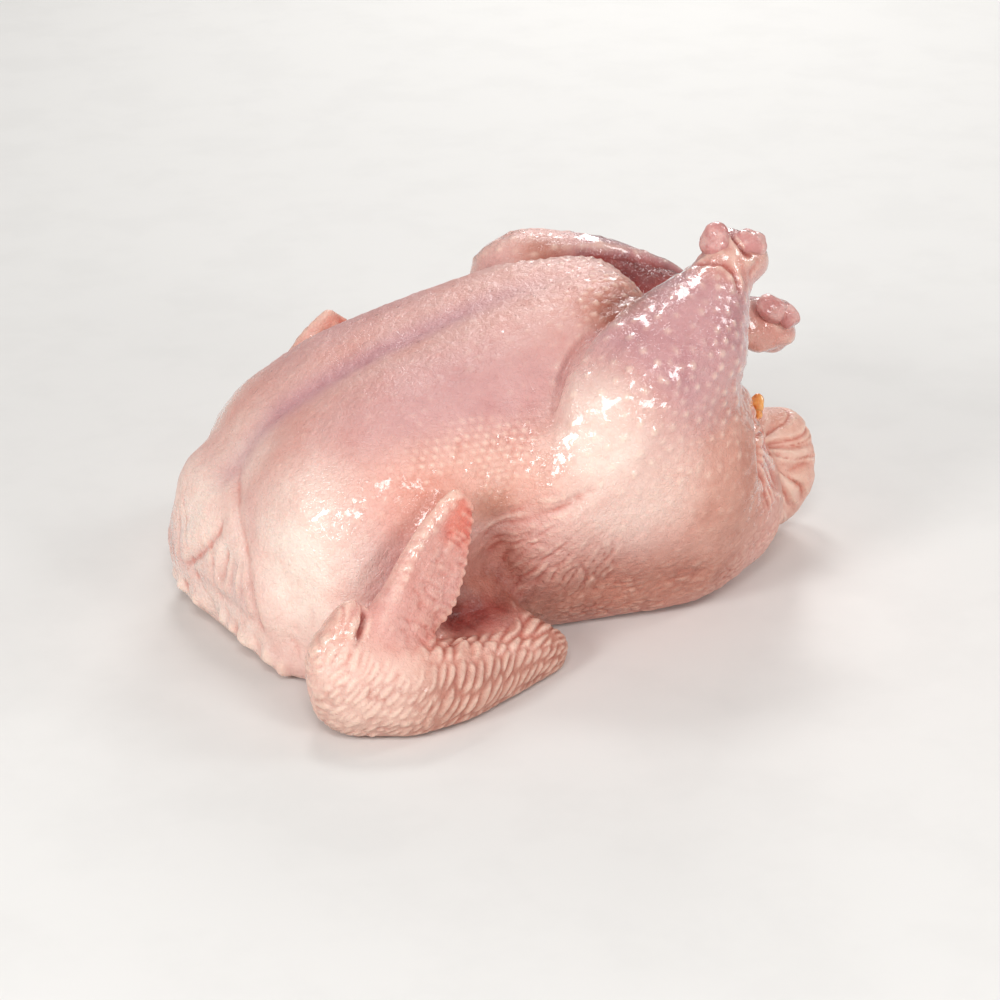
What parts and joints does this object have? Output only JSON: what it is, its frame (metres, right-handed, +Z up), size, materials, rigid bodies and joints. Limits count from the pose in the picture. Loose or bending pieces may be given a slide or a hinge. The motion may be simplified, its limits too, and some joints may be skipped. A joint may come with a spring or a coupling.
{
  "type": "whole raw chicken",
  "caption": "Whole raw chicken, plucked and drawn, lying on its back with the breast up, wings folded against its sides, legs drawn up over the belly and their ends bare at the hock.",
  "frame": {"origin": "middle of the foot print, on the ground", "axes": "+X from the neck to the tail, +Y to the bird's left, +Z up with the breast on top"},
  "size_m": [0.2666, 0.229, 0.1524],
  "materials": {
    "skin": "satin"
  },
  "bodies": {
    "root": {"chicken": "skin"}
  },
  "joints": []
}
